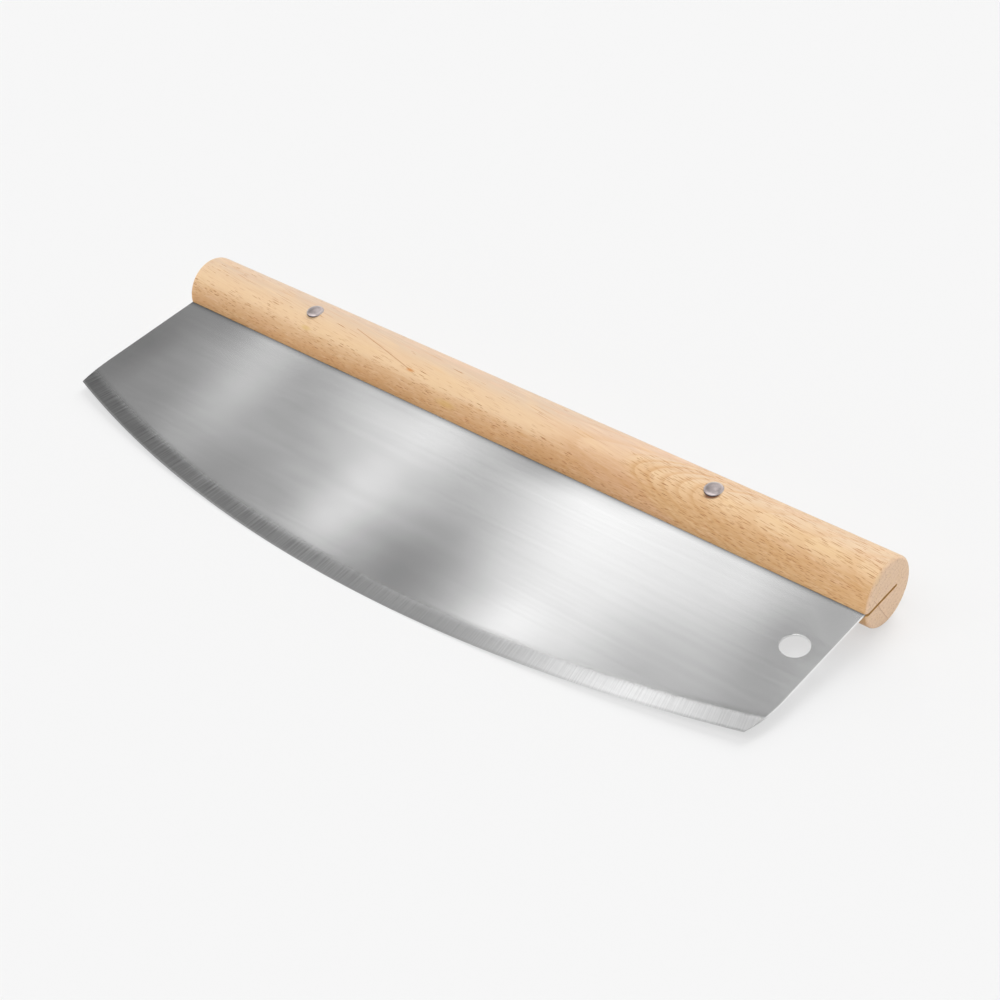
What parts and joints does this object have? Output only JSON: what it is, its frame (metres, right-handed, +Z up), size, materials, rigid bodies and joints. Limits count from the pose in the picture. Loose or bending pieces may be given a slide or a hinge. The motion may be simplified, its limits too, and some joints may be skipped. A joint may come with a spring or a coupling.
{
  "type": "rocking pizza knife",
  "caption": "Rocking pizza knife: a wide sheet-steel blade with a curved cutting edge, riveted into a saw kerf along a round wooden handle, with a hang hole at one end.",
  "frame": {"origin": "bottom centre of the bounding box, on the bench under the knife as it lies on its two lower rivet heads and the middle of its edge", "axes": "+X along the handle towards the hang hole, -Y towards the cutting edge, +Z up from the bench"},
  "size_m": [0.358, 0.1196, 0.0299],
  "materials": {
    "handle_wood": "bare sanded pale hardwood, matt",
    "blade_steel": "brushed along the handle, ground across along the bevel",
    "rivet_metal": "satin, lightly worn"
  },
  "bodies": {
    "root": {"handle": "handle_wood", "blade": "blade_steel", "left_rivet_sleeve": "rivet_metal", "left_rivet_stud": "rivet_metal", "right_rivet_sleeve": "rivet_metal", "right_rivet_stud": "rivet_metal"}
  },
  "joints": []
}
